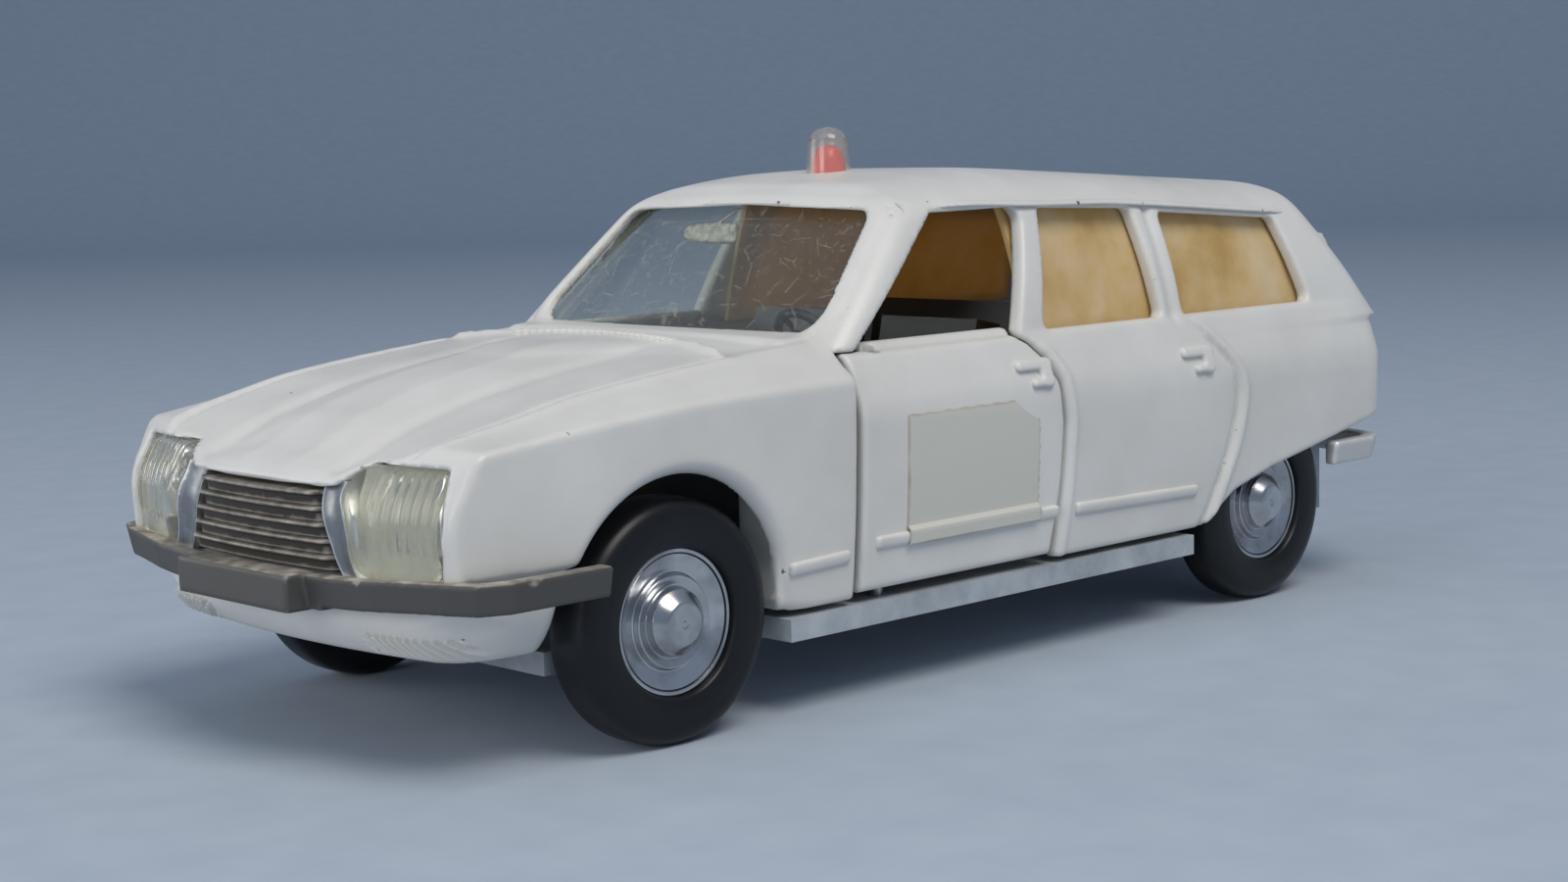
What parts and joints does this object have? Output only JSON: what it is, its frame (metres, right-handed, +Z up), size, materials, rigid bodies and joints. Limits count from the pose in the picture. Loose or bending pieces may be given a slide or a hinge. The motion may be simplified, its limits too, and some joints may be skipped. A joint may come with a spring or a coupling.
{
  "type": "toy estate car",
  "caption": "Die-cast toy estate car in cream enamel with opening front doors and tailgate, rolling wheels, roof beacon and curtained rear windows.",
  "frame": {"origin": "on the floor under the middle of the car's length and width", "axes": "+X forward, +Y to the car's left, +Z up"},
  "size_m": [0.096, 0.0388, 0.0358],
  "materials": {
    "body_paint": "gloss",
    "base_metal": "satin",
    "rivet_metal": "satin",
    "interior_plastic": "satin",
    "clear_plastic": "gloss",
    "curtain_card": "matte",
    "grille_plating": "worn",
    "lens_plastic": "gloss",
    "bumper_plating": "worn",
    "red_plastic": "gloss",
    "pin_steel": "satin",
    "label_paper": "matte",
    "hub_aluminium": "polished",
    "tyre_rubber": "satin"
  },
  "bodies": {
    "car_body": {"body_shell": "body_paint", "baseplate": "base_metal", "baseplate_rivets": "rivet_metal", "interior_tub": "interior_plastic", "dashboard": "interior_plastic", "steering_wheel": "interior_plastic", "windscreen": "clear_plastic", "curtain_left": "curtain_card", "curtain_right": "curtain_card", "grille": "grille_plating", "headlamp_lens_left": "lens_plastic", "headlamp_lens_right": "lens_plastic", "front_bumper": "bumper_plating", "rear_bumper": "bumper_plating", "tail_lamp_left": "red_plastic", "tail_lamp_right": "red_plastic", "beacon_dome": "clear_plastic", "beacon_core": "red_plastic", "door_hinge_pin_left": "pin_steel", "door_hinge_pin_right": "pin_steel", "tailgate_hinge_pins": "pin_steel"},
    "left_door": {"left_door": "body_paint", "door_label_left": "label_paper"},
    "right_door": {"right_door": "body_paint", "door_label_right": "label_paper"},
    "tailgate": {"tailgate": "body_paint", "tailgate_window": "clear_plastic"},
    "front_wheels": {"front_axle": "pin_steel", "front_hub_left": "hub_aluminium", "front_hub_right": "hub_aluminium", "front_tyre_left": "tyre_rubber", "front_tyre_right": "tyre_rubber"},
    "rear_wheels": {"rear_axle": "pin_steel", "rear_hub_left": "hub_aluminium", "rear_hub_right": "hub_aluminium", "rear_tyre_left": "tyre_rubber", "rear_tyre_right": "tyre_rubber"}
  },
  "joints": [
    {"name": "left_door_hinge", "type": "hinge", "parent": "car_body", "child": "left_door", "pos_m": [0.0107, 0.0156, 0.0112], "axis": [0, 0, -1], "range_deg": [0, 60]},
    {"name": "right_door_hinge", "type": "hinge", "parent": "car_body", "child": "right_door", "pos_m": [0.0107, -0.0156, 0.0112], "axis": [0, 0, 1], "range_deg": [0, 60]},
    {"name": "tailgate_hinge", "type": "hinge", "parent": "car_body", "child": "tailgate", "pos_m": [-0.04159, 0, 0.02626], "axis": [0, 1, 0], "range_deg": [0, 65]},
    {"name": "front_axle_roll", "type": "hinge", "parent": "car_body", "child": "front_wheels", "pos_m": [0.0287, 0, 0.00735], "axis": [0, 1, 0], "continuous": true},
    {"name": "rear_axle_roll", "type": "hinge", "parent": "car_body", "child": "rear_wheels", "pos_m": [-0.0306, 0, 0.00735], "axis": [0, 1, 0], "continuous": true}
  ]
}
